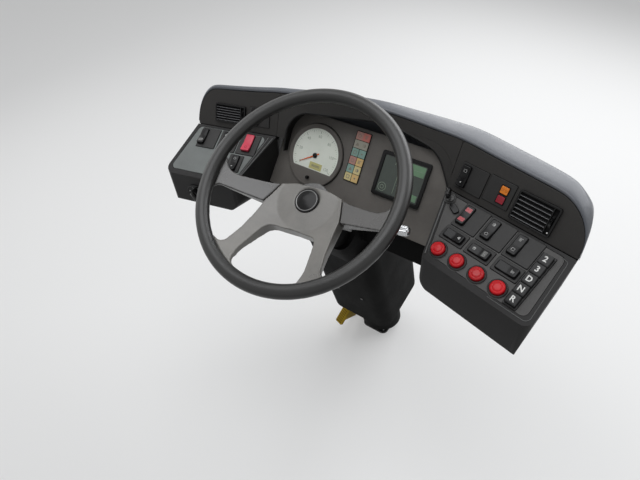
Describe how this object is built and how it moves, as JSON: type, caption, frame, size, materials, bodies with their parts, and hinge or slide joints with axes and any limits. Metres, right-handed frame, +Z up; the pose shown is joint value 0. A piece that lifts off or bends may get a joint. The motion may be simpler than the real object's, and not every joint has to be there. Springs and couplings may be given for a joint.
{
  "type": "bus driver's dashboard with steering wheel and column",
  "caption": "Wrap-around bus driver's dashboard with turned wings, recessed instruments, switch rows and a spoked steering wheel on a tilting, telescopic column.",
  "frame": {"origin": "centre of the column's foot plate, on its lower face, where it stands on the cab floor", "axes": "+X to the vehicle's right, +Y to its front, +Z up"},
  "size_m": [0.9261, 0.6564, 0.9816],
  "materials": {
    "column_metal": "satin black paint",
    "pin_steel": "bare steel",
    "cover_plastic": "dark grained plastic",
    "housing_plastic": "dark grey grained plastic",
    "cowl_plastic": "smooth dark grey plastic",
    "shelf_plastic": "grey grained plastic",
    "black_plastic": "black plastic",
    "dial_face": "pale green printed dial",
    "screen": "dark green-grey screen",
    "red_plastic": "translucent red",
    "lamp_plastic": "dark plate with an orange and a red lens",
    "ring_grey": "grey plastic",
    "lock_metal": "polished",
    "rim_plastic": "black soft plastic, satin",
    "spoke_plastic": "dark grey satin plastic with a fine grain",
    "pad_plastic": "mid grey satin plastic with a fine grain",
    "yellow_plastic": "ribbed yellow plastic",
    "badge_plastic": "black, blank"
  },
  "bodies": {
    "foot": {"foot_plate": "column_metal", "pivot_pin": "pin_steel", "release_pedal": "yellow_plastic"},
    "lower_column": {"lower_tube": "column_metal", "lower_shroud": "cover_plastic"},
    "console": {"upper_tube": "pin_steel", "upper_shroud": "cover_plastic", "column_head": "column_metal", "head_cover": "cover_plastic", "support_beam": "column_metal", "lever": "black_plastic", "lever_tip": "lock_metal", "cowl": "cowl_plastic", "face_centre": "housing_plastic", "face_left": "housing_plastic", "face_right": "housing_plastic", "shelf_left": "shelf_plastic", "shelf_right": "shelf_plastic", "tray_left": "housing_plastic", "tray_right": "housing_plastic", "cluster_hood": "housing_plastic", "instrument_panel": "housing_plastic", "lower_panel": "housing_plastic", "speedometer_bezel": "black_plastic", "speedometer_dial": "dial_face", "trip_knob": "black_plastic", "lamp_block": "black_plastic", "display_bezel": "black_plastic", "display_screen": "screen", "vent_left": "black_plastic", "vent_right": "black_plastic", "headlamp_switch": "black_plastic", "rocker_plates_left": "housing_plastic", "rockers_left": "black_plastic", "hazard_rocker": "red_plastic", "rocker_plates_right": "housing_plastic", "rockers_right": "black_plastic", "indicator_lamps": "lamp_plastic", "key_lock": "lock_metal", "ignition_key": "black_plastic", "red_button_rings": "ring_grey", "red_buttons": "red_plastic", "gear_strip": "housing_plastic", "gear_keys": "black_plastic"},
    "wheel": {"wheel_rim": "rim_plastic", "wheel_spokes": "spoke_plastic", "hub_pad": "pad_plastic", "wheel_badge": "badge_plastic", "steering_shaft": "pin_steel"}
  },
  "joints": [
    {"name": "column_tilt", "type": "hinge", "parent": "foot", "child": "lower_column", "pos_m": [0, 0, 0.06], "axis": [1, 0, 0], "range_deg": [-4, 6]},
    {"name": "column_height", "type": "slide", "parent": "lower_column", "child": "console", "axis": [0, -0.2756, 0.9613], "range_m": [0, 0.06]},
    {"name": "steering", "type": "hinge", "parent": "console", "child": "wheel", "pos_m": [0, -0.376, 0.867], "axis": [0, -0.4756, 0.8796], "range_deg": [-900, 900]}
  ]
}
